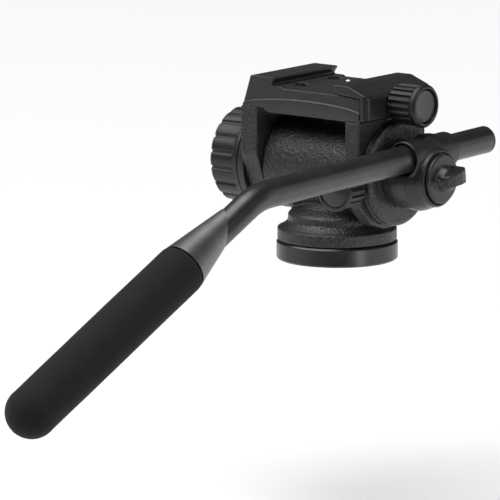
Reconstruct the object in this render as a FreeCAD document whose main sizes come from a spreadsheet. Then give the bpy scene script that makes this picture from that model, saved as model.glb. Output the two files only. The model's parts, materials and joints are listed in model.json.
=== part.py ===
import FreeCAD, Part
import os, math
import Sketcher
from FreeCAD import Vector as V, Placement, Rotation

# Two axis fluid head: flat base, cast barrel housing, tilting bridge with a
# plate clamp, and a bent pan bar held in a bracket on the tilt axis.
# Frame: origin at the mouth of the base thread, +Z up, tilt axis along X,
# user side at -Y. Millimetres.

doc = FreeCAD.newDocument("pan_tilt_head")
sheet = doc.addObject("Spreadsheet::Sheet", "dims")

DIMS = [
    # base and pan axis
    ("base_rad", 30.0), ("base_top", 9.2), ("base_edge", 0.8), ("bush_rad", 7.0),
    ("thread_rad", 4.76), ("run_gap", 0.4), ("spindle_rad", 5.0), ("spindle_top", 25.6),
    ("flange_rad", 29.5), ("flange_top", 15.9), ("neck_rad", 24.2), ("neck_low", 18.8), ("neck_top", 22.8),
    ("web_low", 14.6), ("web_top", 18.4), ("pocket_rad", 16.5), ("nut_pocket_rad", 12.8),
    # tilt axis
    ("axis_ht", 46.0), ("barrel_rad", 23.4), ("barrel_left", -28.7), ("barrel_len", 53.2), ("bore_rad", 18.5),
    ("shaft_rad", 6.0), ("shaft_left", -47.0), ("shaft_len", 86.0), ("shaft_hole", 6.05),
    # arms
    ("larm_x", -39.4), ("larm_t", 10.2), ("larm_top", 75.5), ("rarm_x", 25.0), ("rarm_t", 8.6), ("rarm_top", 73.5),
    ("arm_half", 27.0),
    # platform and plate clamp
    ("bed_front", 25.7), ("bed_len", 52.7), ("bed_top", 91.0), ("bed_floor", 86.0), ("bed_low", 73.5),
    ("clamp_y", -2.0), ("clamp_z", 81.0), ("clamp_knob_rad", 10.7),
    # ends of the tilt axis
    ("hub_rad", 25.2), ("knob_rad", 23.9), ("knob_x", -62.6), ("knob_len", 19.2), ("disc_rad", 25.9), ("disc_t", 6.0),
    ("lock_x", 29.3), ("lock_z", 41.6), ("lock_rad", 10.0), ("lock_len", 14.0),
    # pan bar
    ("bar_x", 52.0), ("bar_z", 56.4), ("tube_rad", 6.8), ("tube_wall", 1.3), ("sleeve_rad", 8.9), ("foam_rad", 12.4),
    ("bracket_rad", 16.6), ("stud_rad", 2.9),
]
DV = {}
for row, (name, val) in enumerate(DIMS, 1):
    sheet.set("A%d" % row, name)
    sheet.set("B%d" % row, repr(val))
    sheet.setAlias("B%d" % row, name)
    DV[name] = val
doc.recompute()


class E:
    """A length that carries its sheet expression and its present value."""
    def __init__(self, ex, val):
        self.ex, self.val = ex, float(val)

    def _o(self, other):
        return other if isinstance(other, E) else E("%.6g" % other, other)

    def __add__(self, o):
        o = self._o(o)
        return E("(%s + %s)" % (self.ex, o.ex), self.val + o.val)

    def __radd__(self, o):
        return self._o(o) + self

    def __sub__(self, o):
        o = self._o(o)
        return E("(%s - %s)" % (self.ex, o.ex), self.val - o.val)

    def __rsub__(self, o):
        return self._o(o) - self

    def __mul__(self, o):
        o = self._o(o)
        return E("(%s * %s)" % (self.ex, o.ex), self.val * o.val)

    def __neg__(self):
        return E("(0 - %s)" % self.ex, -self.val)


def d(name):
    return E("dims.%s" % name, DV[name])


def num(v):
    return v.val if isinstance(v, E) else float(v)


NODES = []


def node(obj, label):
    obj.Label = label
    NODES.append(obj)
    return obj


def bind(obj, prop, v):
    if isinstance(v, E):
        obj.setExpression(prop, v.ex)
    else:
        setattr(obj, prop, v)


# ---------------------------------------------------------------- sketches
def origin_plane(body, role):
    for f in body.Origin.OriginFeatures:
        if f.Role == role:
            return f


def new_body(name):
    return doc.addObject("PartDesign::Body", name)


def new_sketch(body, name, role, offset=0.0):
    sk = body.newObject("Sketcher::SketchObject", name)
    sk.AttachmentSupport = [(origin_plane(body, role), "")]
    sk.MapMode = "FlatFace"
    if offset:
        sk.AttachmentOffset = Placement(V(0, 0, offset), Rotation())
    return sk


def dim_point(sk, gi, pos, x, y):
    """Place one sketch point by two dimensions taken from the origin."""
    for kind, axis, v in (("DistanceX", -2, x), ("DistanceY", -1, y)):
        n = num(v)
        if abs(n) < 1e-9:
            sk.addConstraint(Sketcher.Constraint("PointOnObject", gi, pos, axis))
            continue
        if n > 0:
            ci = sk.addConstraint(Sketcher.Constraint(kind, -1, 1, gi, pos, n))
            ex = v
        else:
            ci = sk.addConstraint(Sketcher.Constraint(kind, gi, pos, -1, 1, -n))
            ex = -v if isinstance(v, E) else None
        if isinstance(v, E):
            sk.setExpression("Constraints[%d]" % ci, ex.ex)


def poly(sk, pts):
    k = len(pts)
    first = None
    for i in range(k):
        a, b = pts[i], pts[(i + 1) % k]
        gi = sk.addGeometry(Part.LineSegment(V(num(a[0]), num(a[1]), 0), V(num(b[0]), num(b[1]), 0)), False)
        if first is None:
            first = gi
    for i in range(k):
        sk.addConstraint(Sketcher.Constraint("Coincident", first + i, 2, first + (i + 1) % k, 1))
    for i in range(k):
        dim_point(sk, first + i, 1, pts[i][0], pts[i][1])


def circ(sk, x, y, r):
    gi = sk.addGeometry(Part.Circle(V(num(x), num(y), 0), V(0, 0, 1), num(r)), False)
    dim_point(sk, gi, 3, x, y)
    ci = sk.addConstraint(Sketcher.Constraint("Radius", gi, num(r)))
    if isinstance(r, E):
        sk.setExpression("Constraints[%d]" % ci, r.ex)


def revolve(body, name, pts, about, groove=False):
    """about X: points are (x, r) in the XY plane; about Z: (r, z) in XZ."""
    sk = new_sketch(body, name + "_sk", "XY_Plane" if about == "X" else "XZ_Plane")
    poly(sk, pts)
    f = body.newObject("PartDesign::Groove" if groove else "PartDesign::Revolution", name)
    f.Profile = sk
    f.ReferenceAxis = (sk, ["H_Axis"] if about == "X" else ["V_Axis"])
    f.Angle = 360.0
    return f


def pad(body, name, sk, length, reverse=False):
    f = body.newObject("PartDesign::Pad", name)
    f.Profile = sk
    bind(f, "Length", length)
    f.Reversed = reverse
    return f


def pocket(body, name, sk, length, reverse=False, sym=False):
    f = body.newObject("PartDesign::Pocket", name)
    f.Profile = sk
    bind(f, "Length", length)
    f.Reversed = reverse
    if sym:
        f.Midplane = True
    return f


def rev_node(label, pts, about, at=(0, 0, 0), axis_y=None):
    b = new_body(label)
    revolve(b, label + "_rev", pts, about)
    b.Placement = Placement(V(*at), axis_y or Rotation())
    return node(b, label)


def edges_where(shape, test):
    out = []
    for i, e in enumerate(shape.Edges, 1):
        if test(e):
            out.append("Edge%d" % i)
    return out


def dress(body, kind, name, base, size, test):
    doc.recompute()
    names = edges_where(base.Shape, test)
    f = body.newObject("PartDesign::" + kind, name)
    f.Base = (base, names)
    if kind == "Fillet":
        f.Radius = size
    else:
        f.Size = size
    return f


def polar(body, name, feat, axis_role, count):
    f = body.newObject("PartDesign::PolarPattern", name)
    f.Originals = [feat]
    f.Axis = (origin_plane(body, axis_role), [""])
    f.Angle = 360.0
    f.Occurrences = count
    body.Tip = f
    return f


def check_cut(body, before, what):
    doc.recompute()
    if not body.Shape.Volume < before - 1e-3:
        raise RuntimeError("%s removed nothing" % what)


# ------------------------------------------------------------ primitives
def cyl(name, r, h, base, axis="Z"):
    o = doc.addObject("Part::Cylinder", name)
    bind(o, "Radius", r)
    bind(o, "Height", h)
    rot = {"Z": Rotation(), "X": Rotation(V(0, 1, 0), 90), "Y": Rotation(V(1, 0, 0), -90),
           "-Y": Rotation(V(1, 0, 0), 90)}[axis]
    o.Placement = Placement(V(*base), rot)
    return o


def boolean(kind, name, a, b):
    o = doc.addObject("Part::" + kind, name)
    o.Base, o.Tool = a, b
    return o


def ring(label, ro, ri, h, base, axis="Z"):
    off = {"Z": V(0, 0, -1), "X": V(-1, 0, 0), "Y": V(0, -1, 0), "-Y": V(0, 1, 0)}[axis]
    a = cyl(label + "_outer", ro, h, base, axis)
    hh = h + 2 if isinstance(h, E) else h + 2.0
    b = cyl(label + "_inner", ri, hh, V(*base) + off, axis)
    return node(boolean("Cut", label + "_cut", a, b), label)


def fused(label, objs):
    m = doc.addObject("Part::MultiFuse", label + "_fuse")
    m.Shapes = objs
    return m


def group(label, shapes):
    """Identical fasteners or springs kept as one group of separate solids."""
    f = doc.addObject("Part::Feature", label)
    f.Shape = Part.makeCompound(shapes)
    return node(f, label)


AX = DV["axis_ht"]

# ===================================================== base (fixed)
rev_node("base_disc", [
    (d("bush_rad"), 0.0), (12.0, 0.0), (12.6, 0.5), (23.4, 0.5), (24.0, 0.0),
    (d("base_rad") - d("base_edge"), 0.0), (d("base_rad"), d("base_edge")),
    (d("base_rad"), d("base_top") - d("base_edge")), (d("base_rad") - d("base_edge"), d("base_top")),
    (d("bush_rad"), d("base_top"))], "Z")
ring("thread_bush", d("bush_rad") - 0.03, d("thread_rad"), 9.0, (0, 0, 0))
rev_node("pan_spindle", [
    (0.0, d("base_top")), (12.0, d("base_top")), (12.0, d("base_top") + 1.2), (d("spindle_rad"), d("base_top") + 1.2),
    (d("spindle_rad"), d("spindle_top") - 0.6), (d("spindle_rad") - 0.6, d("spindle_top")), (0.0, d("spindle_top"))], "Z")
rev_node("pan_bearing", [
    (d("spindle_rad") + 0.4, 10.4), (14.6, 10.4), (14.6, 11.7), (13.6, 11.9), (13.6, 12.7), (14.6, 12.9), (14.6, 14.2),
    (d("spindle_rad") + 0.4, 14.2)], "Z")
ring("pan_friction_washer", 12.2, d("spindle_rad") + 0.4, 1.3, (0, 0, DV["web_top"]))
rev_node("pan_spring_washer", [
    (d("spindle_rad") + 0.05, 20.6), (d("spindle_rad") + 0.05, 21.3), (10.6, 20.7), (10.6, 20.0)], "Z")
nut = doc.addObject("Part::Prism", "pan_nut_hex")
nut.Polygon = 6
nut.Circumradius = 9.3
nut.Height = 3.8
nut.Placement = Placement(V(0, 0, 21.4), Rotation())
node(boolean("Cut", "pan_nut_cut", nut, cyl("pan_nut_hole", d("spindle_rad") + 0.03, 6.0, (0, 0, 20.4))), "pan_nut")

# ===================================================== pan housing
hb = new_body("pan_housing")
revolve(hb, "housing_neck", [
    (0.0, d("base_top") + d("run_gap")), (d("flange_rad") - 0.8, d("base_top") + d("run_gap")),
    (d("flange_rad"), d("base_top") + d("run_gap") + 0.8), (d("flange_rad"), d("flange_top") - 0.9),
    (d("flange_rad") - 0.9, d("flange_top")), (d("flange_rad") - 2.2, d("flange_top") + 0.3),
    (d("neck_rad") + 0.5, d("neck_low")), (d("neck_rad"), d("neck_low") + 0.8),
    (d("neck_rad"), d("neck_top")), (d("neck_rad") - 0.8, d("neck_top") + 0.9), (19.0, 25.0), (15.5, 29.0), (14.0, 33.0), (0.0, 33.0)], "Z")
sk = new_sketch(hb, "barrel_sk", "YZ_Plane", DV["barrel_left"])
circ(sk, 0.0, d("axis_ht"), d("barrel_rad"))
bp = pad(hb, "barrel_pad", sk, d("barrel_len"))
doc.recompute()
vol = hb.Shape.Volume
sk = new_sketch(hb, "bore_sk", "YZ_Plane", DV["barrel_left"] - 1.0)
circ(sk, 0.0, d("axis_ht"), d("bore_rad"))
pocket(hb, "bore_pocket", sk, d("barrel_len") + 2.0, reverse=True)
check_cut(hb, vol, "barrel bore")
vol = hb.Shape.Volume
revolve(hb, "pan_bores", [
    (0.0, 8.0), (d("pocket_rad"), 8.0), (d("pocket_rad"), d("web_low")), (d("spindle_rad") + 0.06, d("web_low")),
    (d("spindle_rad") + 0.06, d("web_top")), (d("nut_pocket_rad"), d("web_top")), (d("nut_pocket_rad"), 31.0), (0.0, 31.0)],
    "Z", groove=True)
check_cut(hb, vol, "pan bores")
vol = hb.Shape.Volume
sk = new_sketch(hb, "lock_sk", "XZ_Plane", -32.0)
circ(sk, 0.0, 12.7, 1.95)
pocket(hb, "lock_hole", sk, 17.0, reverse=False)
doc.recompute()
if not hb.Shape.Volume < vol - 1e-3:
    hb.getObject("lock_hole").Reversed = True
check_cut(hb, vol, "pan lock hole")
node(hb, "pan_housing")

# pan lock thumb screw, on the lens side of the flange
ls = new_body("pan_lock_stud")
revolve(ls, "pan_lock_stud_rev", [(16.8, 0.0), (16.8, 1.4), (17.3, 1.85), (31.9, 1.85), (31.9, 0.0)], "X")
ls.Placement = Placement(V(0, 0, 12.7), Rotation(V(0, 0, 1), 90))
node(ls, "pan_lock_stud")
lk = new_body("pan_lock_knob")
revolve(lk, "pan_lock_rev", [(30.4, 1.95), (30.4, 4.0), (31.0, 4.6), (39.6, 4.6), (40.4, 3.8), (40.4, 0.0), (32.0, 0.0), (32.0, 1.95)], "X")
sk = new_sketch(lk, "pan_lock_flute_sk", "YZ_Plane", 31.6)
circ(sk, 0.0, 5.15, 0.9)
pk = pocket(lk, "pan_lock_flute", sk, 10.0, reverse=True)
polar(lk, "pan_lock_flutes", pk, "X_Axis", 12)
lk.Placement = Placement(V(0, 0, 12.7), Rotation(V(0, 0, 1), 90))
node(lk, "pan_lock_knob")

# ===================================================== inside the barrel
rev_node("tilt_bush_left", [(-28.5, d("shaft_rad") + 0.05), (-28.5, 17.8), (-27.9, d("bore_rad") - 0.03), (-24.0, d("bore_rad") - 0.03),
                            (-24.0, 9.0), (-22.4, 9.0), (-22.4, d("shaft_rad") + 0.05)], "X", (0, 0, AX))
rev_node("tilt_bush_right", [(18.4, d("shaft_rad") + 0.05), (18.4, 9.0), (20.0, 9.0), (20.0, d("bore_rad") - 0.03), (23.7, d("bore_rad") - 0.03),
                             (24.3, 17.8), (24.3, d("shaft_rad") + 0.05)], "X", (0, 0, AX))
rev_node("tilt_drag_cup", [(-20.5, 7.0), (-20.5, d("bore_rad") - 0.05), (-1.5, d("bore_rad") - 0.05), (-1.5, 16.0), (-18.6, 16.0), (-18.6, 7.0)],
         "X", (0, 0, AX))
rev_node("tilt_drag_rotor", [
    (-17.8, d("shaft_rad") + 0.03), (-17.8, 15.3), (-14.8, 15.3), (-14.8, 10.0), (-12.8, 10.0), (-12.8, 15.3), (-9.8, 15.3), (-9.8, 10.0),
    (-7.8, 10.0), (-7.8, 15.3), (-4.8, 15.3), (-4.8, 10.0), (-2.4, 9.0), (-2.4, d("shaft_rad") + 0.03)], "X", (0, 0, AX))
shaft_b = new_body("tilt_shaft")
revolve(shaft_b, "tilt_shaft_rev", [
    (d("shaft_left"), 0.0), (d("shaft_left"), d("shaft_rad") - 0.8), (d("shaft_left") + 0.8, d("shaft_rad")),
    (d("shaft_left") + d("shaft_len") - 0.5, d("shaft_rad")), (d("shaft_left") + d("shaft_len"), d("shaft_rad") - 0.5),
    (d("shaft_left") + d("shaft_len"), d("stud_rad") + 0.06), (26.0, d("stud_rad") + 0.06), (26.0, 0.0)], "X")
shaft_b.Placement = Placement(V(0, 0, AX), Rotation())
node(shaft_b, "tilt_shaft")
# counterbalance torsion coil round the shaft
helix = Part.makeHelix(3.0, 12.0, 11.0)
helix.Placement = Placement(V(2.0, 0, AX), Rotation(V(0, 1, 0), 90))
start = helix.Vertexes[0].Point if helix.Vertexes[0].Point.x < helix.Vertexes[-1].Point.x else helix.Vertexes[-1].Point
tang = helix.Edges[0].tangentAt(helix.Edges[0].FirstParameter)
prof = Part.Wire([Part.makeCircle(1.05, helix.Edges[0].valueAt(helix.Edges[0].FirstParameter), tang)])
coil = Part.Wire(helix.Edges).makePipeShell([prof], True, True)
sp = doc.addObject("Part::Feature", "balance_spring")
sp.Shape = coil
node(sp, "balance_spring")


# ===================================================== arms
def arm(label, x, t, top, low_pts, screws):
    b = new_body(label)
    s = new_sketch(b, label + "_sk", "YZ_Plane")
    poly(s, [(-d("arm_half"), top)] + [(p, q) for p, q in low_pts] + [(d("arm_half"), top)])
    p0 = pad(b, label + "_pad", s, t)
    f1 = dress(b, "Fillet", label + "_lower", p0, 11.0,
               lambda e: abs(e.Length - num(t)) < 1e-3 and e.BoundBox.ZMax < 53)
    doc.recompute()
    f2 = dress(b, "Fillet", label + "_outer_edge", f1, 0.7,
               lambda e: e.BoundBox.XLength < 1e-3 and e.BoundBox.ZMax < num(top) + 1e-3 and e.BoundBox.ZMin < num(top) - 1)
    doc.recompute()
    v0 = b.Shape.Volume
    s = new_sketch(b, label + "_hole_sk", "YZ_Plane", -1.0)
    circ(s, 0.0, d("axis_ht"), d("shaft_hole"))
    pocket(b, label + "_hole", s, t + 2.0, reverse=True)
    check_cut(b, v0, label + " hole")
    v0 = b.Shape.Volume
    s = new_sketch(b, label + "_screw_sk", "XY_Plane", num(top) + 1.0)
    for yy in screws:
        circ(s, t * 0.5, yy, 1.9)
    pocket(b, label + "_screw_holes", s, 13.0)
    check_cut(b, v0, label + " screw holes")
    b.Placement = Placement(V(num(x), 0, 0), Rotation())
    return node(b, label)


low = [(-d("arm_half"), 32.5), (-16.5, 22.2), (-6.5, 18.9), (6.5, 18.9), (16.5, 22.2), (d("arm_half"), 32.5)]
low_left = [(-d("arm_half"), 52.0), (-21.5, 38.5), (-17.0, 29.0), (-9.0, 23.5), (9.0, 23.5), (17.0, 29.0), (21.5, 38.5), (d("arm_half"), 52.0)]
arm("left_arm", d("larm_x"), d("larm_t"), d("larm_top"), low_left, (-16.0, 14.0))
arm("right_arm", d("rarm_x"), d("rarm_t"), d("rarm_top"), low, (-16.0, 14.0))
ra = NODES[-1]
v0 = ra.Shape.Volume
sk = new_sketch(ra, "tilt_lock_hole_sk", "XZ_Plane", 28.0)
circ(sk, 4.3, d("lock_z"), 2.6)
pocket(ra, "tilt_lock_hole", sk, 21.3)
doc.recompute()
if not ra.Shape.Volume < v0 - 1e-3:
    ra.getObject("tilt_lock_hole").Reversed = True
check_cut(ra, v0, "tilt lock hole")
NODES.pop()
# relief at the foot of the arm's inner face: it swings past the neck's shoulder
rr = new_body("relief_ring")
revolve(rr, "relief_ring_rev", [(24.0, 25.9), (27.8, 29.56), (27.8, 36.0), (24.0, 36.0)], "X")
rr.Placement = Placement(V(0, 0, AX), Rotation())
rbx = doc.addObject("Part::Box", "relief_box")
rbx.Length, rbx.Width, rbx.Height = 8.0, 80.0, 30.0
rbx.Placement = Placement(V(22.0, -40.0, 12.0), Rotation())
ra.Label = "right_arm_body"
node(boolean("Cut", "right_arm_cut", ra, boolean("Common", "relief", rr, rbx)), "right_arm")

# ===================================================== platform
pb = new_body("platform")
sk = new_sketch(pb, "bed_sk", "XZ_Plane")
poly(sk, [
    (-33.8, d("bed_top")), (-19.6, d("bed_top")), (-19.2, d("bed_top") - 0.7), (-21.0, 87.9), (-20.8, 86.9), (-15.2, 86.8), (-14.2, d("bed_floor")),
    (17.6, d("bed_floor")), (33.7, 85.0), (33.7, d("rarm_top")), (-23.0, d("rarm_top")), (-26.0, d("larm_top")), (-38.9, d("larm_top")),
    (-38.4, 76.6)])
bed = pad(pb, "bed_pad", sk, d("bed_len"))
doc.recompute()
bb = pb.Shape.BoundBox
bed_pad_neg = bb.YMin < -1.0
bed = dress(pb, "Fillet", "bed_corner", bed, 1.6,
            lambda e: abs(e.Length - DV["bed_len"]) < 1e-3 and abs(e.BoundBox.XMin + 38.4) < 0.2 and e.BoundBox.ZMax < 77)
doc.recompute()
v0 = pb.Shape.Volume
for nm, yy in (("bed_screw_a", -10.5), ("bed_screw_b", 16.5)):
    s = new_sketch(pb, nm + "_sk", "XY_Plane", 87.5)
    circ(s, -13.6, yy - DV["bed_front"], 4.3)
    pocket(pb, nm, s, 1.5 + 3.3)
    check_cut(pb, v0, nm)
    v0 = pb.Shape.Volume
s = new_sketch(pb, "stop_hole_sk", "XY_Plane", 87.0)
circ(s, -3.0, 13.0 - DV["bed_front"], 1.85)
pocket(pb, "stop_hole", s, 8.0)
check_cut(pb, v0, "stop pin hole")
v0 = pb.Shape.Volume
# clamp screw thread and the two guide pin holes, from the right side
s = new_sketch(pb, "clamp_hole_sk", "YZ_Plane", 34.7)
circ(s, d("clamp_y") - d("bed_front"), d("clamp_z"), 2.6)
pocket(pb, "clamp_hole", s, 30.0)
check_cut(pb, v0, "clamp hole")
v0 = pb.Shape.Volume
s = new_sketch(pb, "guide_hole_sk", "YZ_Plane", 34.7)
circ(s, d("clamp_y") - d("bed_front") - 15.0, d("clamp_z") - 0.6, 1.6)
circ(s, d("clamp_y") - d("bed_front") + 15.0, d("clamp_z") - 0.6, 1.6)
pocket(pb, "guide_holes", s, 15.0)
check_cut(pb, v0, "guide holes")
v0 = pb.Shape.Volume
s = new_sketch(pb, "spring_pocket_sk", "YZ_Plane", 34.7)
circ(s, d("clamp_y") - d("bed_front") - 8.2, d("clamp_z") - 0.6, 2.4)
circ(s, d("clamp_y") - d("bed_front") + 8.2, d("clamp_z") - 0.6, 2.4)
pocket(pb, "spring_pockets", s, 8.0)
check_cut(pb, v0, "spring pockets")
v0 = pb.Shape.Volume
s = new_sketch(pb, "arm_screw_sk", "XY_Plane", 70.0)
for xx in (-34.3, 29.3):
    for yy in (-16.0, 14.0):
        circ(s, xx, yy - DV["bed_front"], 1.9)
pocket(pb, "arm_screw_holes", s, 11.0, reverse=True)
check_cut(pb, v0, "arm screw holes")
pb.Placement = Placement(V(0, DV["bed_front"], 0), Rotation())
node(pb, "platform")


def socket_screw(rh, hh, rs, ls, at, down=V(0, 0, -1), hexa=1.5, deep=1.6):
    """Cap screw: the head's top is at 'at', the shank goes along 'down'."""
    head = Part.makeCylinder(rh, hh, at, down)
    shank = Part.makeCylinder(rs, ls, at + down * (hh - 0.01), down)
    hexp = [V(hexa * math.cos(math.radians(60 * i)), hexa * math.sin(math.radians(60 * i)), 0) for i in range(6)]
    hx = Part.Face(Part.makePolygon(hexp + [hexp[0]])).extrude(V(0, 0, -deep))
    if down.z > 0:
        hx.rotate(V(0, 0, 0), V(1, 0, 0), 180)
    hx.translate(at)
    s = head.fuse(shank).cut(hx).removeSplitter()
    return s


def edge_round(shape, r, test):
    es = [e for e in shape.Edges if test(e)]
    return shape.makeChamfer(r, es)


fs = []
for yy in (-10.5, 16.5):
    s0 = socket_screw(4.1, 2.7, 0.0 + 2.0, 0.2, V(-13.6, yy, 85.75), hexa=2.0, deep=1.8)
    s0 = edge_round(s0, 0.4, lambda e: e.Curve.TypeId == "Part::GeomCircle" and abs(e.Curve.Radius - 4.1) < 1e-3 and e.BoundBox.ZMin > 85.7)
    fs.append(s0)
group("floor_screws", fs)
group("arm_screws", [socket_screw(1.8, 0.5, 1.8, 16.2 if xx < 0 else 15.6, V(xx, yy, 63.6 if xx < 0 else 61.6), V(0, 0, 1), hexa=0.9, deep=0.3)
                     for xx in (-34.3, 29.3) for yy in (-16.0, 14.0)])
stop = new_body("stop_pin")
revolve(stop, "stop_pin_rev", [(1.15, 80.8), (1.7, 80.8), (1.7, 86.4), (1.2, 86.9), (0.0, 86.9), (0.0, 82.6), (1.15, 82.6)], "Z")
stop.Placement = Placement(V(-3.0, 13.0, 0), Rotation())
node(stop, "stop_pin")

# ===================================================== moving jaw and its knob
jb = new_body("moving_jaw")
sk = new_sketch(jb, "jaw_sk", "XZ_Plane")
poly(sk, [
    (17.3, d("bed_top") - 0.7), (17.7, d("bed_top")), (26.2, d("bed_top")), (36.9, 86.9), (38.4, 85.4), (38.4, 74.9), (34.1, 74.9), (34.1, 85.45),
    (20.6, 86.5), (19.1, 87.6)])
jp = pad(jb, "jaw_pad", sk, d("bed_len"))
jf = dress(jb, "Chamfer", "jaw_corners", jp, 1.9,
           lambda e: e.BoundBox.XLength < 1e-3 and e.BoundBox.YLength < 1e-3 and e.BoundBox.ZLength > 9 and e.BoundBox.XMin > 38)
doc.recompute()
v0 = jb.Shape.Volume
s = new_sketch(jb, "jaw_holes_sk", "YZ_Plane", 39.4)
circ(s, d("clamp_y") - d("bed_front"), d("clamp_z"), 2.75)
pocket(jb, "jaw_holes", s, 6.0)
check_cut(jb, v0, "jaw hole")
v0 = jb.Shape.Volume
s = new_sketch(jb, "jaw_pin_sk", "YZ_Plane", 33.0)
circ(s, d("clamp_y") - d("bed_front") - 15.0, d("clamp_z") - 0.6, 1.5)
circ(s, d("clamp_y") - d("bed_front") + 15.0, d("clamp_z") - 0.6, 1.5)
pocket(jb, "jaw_pin_holes", s, 4.0, reverse=True)
check_cut(jb, v0, "jaw pin holes")
jb.Placement = Placement(V(0, DV["bed_front"], 0), Rotation())
node(jb, "moving_jaw")
CY, CZ = DV["clamp_y"], DV["clamp_z"]
group("jaw_pins", [Part.makeCylinder(1.47, 14.6, V(22.3, CY + s * 15.0, CZ - 0.6), V(1, 0, 0)) for s in (-1, 1)])


def coil_spring(r, wire, pitch, height, at, axis_rot):
    hx = Part.makeHelix(pitch, height, r)
    e = hx.Edges[0]
    pr = Part.Wire([Part.makeCircle(wire, e.valueAt(e.FirstParameter), e.tangentAt(e.FirstParameter))])
    sh = Part.Wire(hx.Edges).makePipeShell([pr], True, True)
    sh.Placement = Placement(at, axis_rot)
    return sh


group("clamp_springs", [coil_spring(1.85, 0.3, 1.6, 6.2, V(27.2, CY + s * 8.2, CZ - 0.6), Rotation(V(0, 1, 0), 90)) for s in (-1, 1)])
node(doc.addObject("Part::Feature", "stop_pin_spring"), "stop_pin_spring")
NODES[-1].Shape = coil_spring(0.85, 0.2, 0.7, 2.1, V(-3.0, 13.0, 79.25), Rotation())

rev_node("clamp_screw", [(9.0, 0.0), (9.0, 1.9), (9.6, 2.45), (49.2, 2.45), (49.2, 0.0)], "X", (0, CY, CZ))
kb = new_body("clamp_knob")
revolve(kb, "clamp_knob_rev", [
    (38.8, 2.5), (38.8, 8.8), (39.4, 9.6), (52.4, 9.6), (53.0, d("clamp_knob_rad") - 0.2), (53.4, d("clamp_knob_rad")), (54.8, d("clamp_knob_rad")),
    (56.0, d("clamp_knob_rad") - 1.3), (56.0, 8.7), (55.2, 8.4), (49.4, 8.4), (49.4, 2.5)], "X")
sk = new_sketch(kb, "clamp_flute_sk", "YZ_Plane", 38.0)
circ(sk, 0.0, 10.35, 1.25)
pk = pocket(kb, "clamp_flute", sk, 14.6, reverse=True)
polar(kb, "clamp_flutes", pk, "X_Axis", 18)
kb.Placement = Placement(V(0, CY, CZ), Rotation())
node(kb, "clamp_knob")
rev_node("clamp_knob_cap", [(49.5, 0.0), (49.5, 8.3), (54.7, 8.3), (55.1, 7.7), (54.8, 4.0), (54.7, 0.0)], "X", (0, CY, CZ))

# ===================================================== left end of the tilt axis
rev_node("left_hub", [(-43.4, d("shaft_hole")), (-43.4, d("hub_rad") - 1.2), (-42.9, d("hub_rad") - 0.3), (-42.2, d("hub_rad")), (-39.4, d("hub_rad")),
                      (-39.4, d("shaft_hole"))], "X", (0, 0, AX))
kn = new_body("drag_knob")
KX, KL = d("knob_x"), d("knob_len")
revolve(kn, "drag_knob_rev", [
    (KX + KL, 9.2), (KX + KL, 24.3), (KX + KL - 0.5, 24.8), (KX + KL - 1.9, 24.8), (KX + KL - 2.6, 24.2), (KX + 3.4, d("knob_rad")), (KX + 1.0, d("knob_rad") - 1.3),
    (KX, d("knob_rad") - 3.6), (KX, 17.6), (KX + 1.2, 17.0), (KX + 1.6, 13.2), (KX + 1.6, 9.2)], "X")
sk = new_sketch(kn, "scallop_sk", "YZ_Plane", DV["knob_x"] - 1.0)
circ(sk, 0.0, d("knob_rad") + 2.35, 3.6)
pk = pocket(kn, "scallop", sk, DV["knob_len"] - 1.9, reverse=True)
polar(kn, "scallops", pk, "X_Axis", 18)
kn.Placement = Placement(V(0, 0, AX), Rotation())
node(kn, "drag_knob")
rev_node("drag_knob_core", [(-59.2, d("shaft_rad") + 0.3), (-59.2, 9.17), (-43.7, 9.17), (-43.7, d("shaft_rad") + 0.05), (-48.0, d("shaft_rad") + 0.05),
                            (-48.0, d("shaft_rad") + 0.3)], "X", (0, 0, AX))
rev_node("drag_knob_cap", [(-59.3, 0.0), (-59.3, 9.1), (-61.1, 9.1), (-61.1, 12.4), (-61.9, 12.0), (-62.3, 8.0), (-62.4, 0.0)], "X", (0, 0, AX))

# ===================================================== right end of the tilt axis
DX = DV["rarm_x"] + DV["rarm_t"]
rev_node("right_disc", [(DX, d("shaft_hole")), (DX, d("disc_rad")), (DX + d("disc_t") - 1.6, d("disc_rad") - 0.2), (DX + d("disc_t") - 0.4, d("disc_rad") - 1.2),
                        (DX + d("disc_t"), d("disc_rad") - 2.6), (DX + d("disc_t"), d("shaft_hole"))], "X", (0, 0, AX))


def toothed(label, x0, x1, ro, ri, tooth_side):
    b = new_body(label)
    revolve(b, label + "_rev", [(x0, ri), (x0, ro - 0.5), (x0 + 0.5, ro), (x1 - 0.3, ro), (x1, ro - 0.3), (x1, ri)], "X")
    s = new_sketch(b, label + "_tooth_sk", "XY_Plane")
    xx = x1 if tooth_side > 0 else x0
    a = 0.55
    poly(s, [(xx - tooth_side * a, ri + 2.0), (xx + tooth_side * 0.3, ri + 2.0), (xx + tooth_side * 0.3, ro + 1.0), (xx - tooth_side * a, ro + 1.0)])
    p = pocket(b, label + "_tooth", s, 0.8, sym=True)
    polar(b, label + "_teeth", p, "X_Axis", 36)
    b.Placement = Placement(V(0, 0, AX), Rotation())
    return node(b, label)


toothed("hub_rosette", DX + 6.0, DX + 8.3, 16.4, 8.0, 1)
toothed("bracket_rosette", DX + 8.6, DX + 10.9, 16.4, 8.0, -1)

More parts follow.
